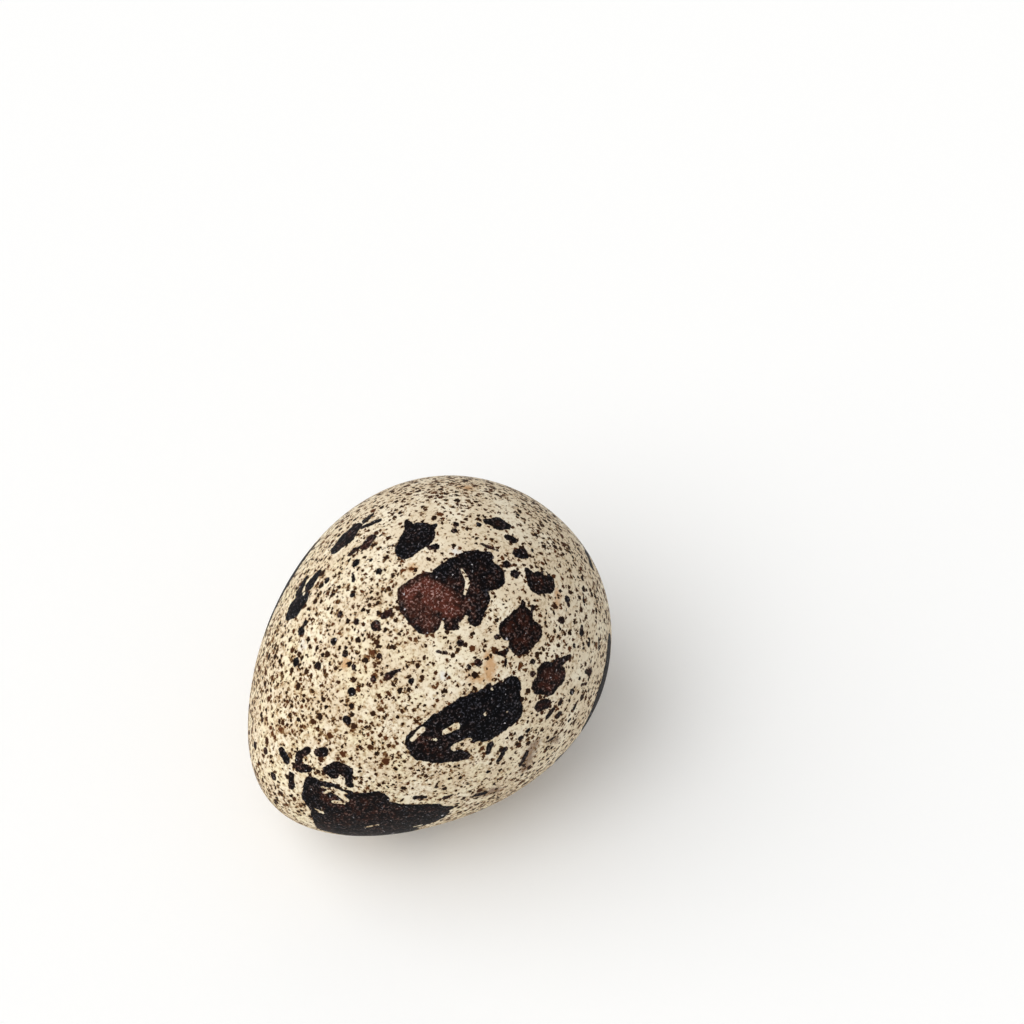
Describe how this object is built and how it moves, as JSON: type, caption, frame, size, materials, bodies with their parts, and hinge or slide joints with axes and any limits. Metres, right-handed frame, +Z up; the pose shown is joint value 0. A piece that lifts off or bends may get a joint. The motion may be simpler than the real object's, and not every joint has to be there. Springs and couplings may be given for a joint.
{
  "type": "quail egg",
  "caption": "Whole speckled quail egg lying on its side on a small flat spot, with its blunt end slightly raised.",
  "frame": {"origin": "middle of the small flat spot on the underside, on the surface that the egg rests on", "axes": "+Z up from the flat spot, +X level along the egg towards its blunt end, which is raised 13 degrees"},
  "size_m": [0.0321, 0.026, 0.0261],
  "materials": {
    "shell": "dry satin eggshell, cream with fine brown specks and black-brown blotches"
  },
  "bodies": {
    "root": {"egg": "shell"}
  },
  "joints": []
}
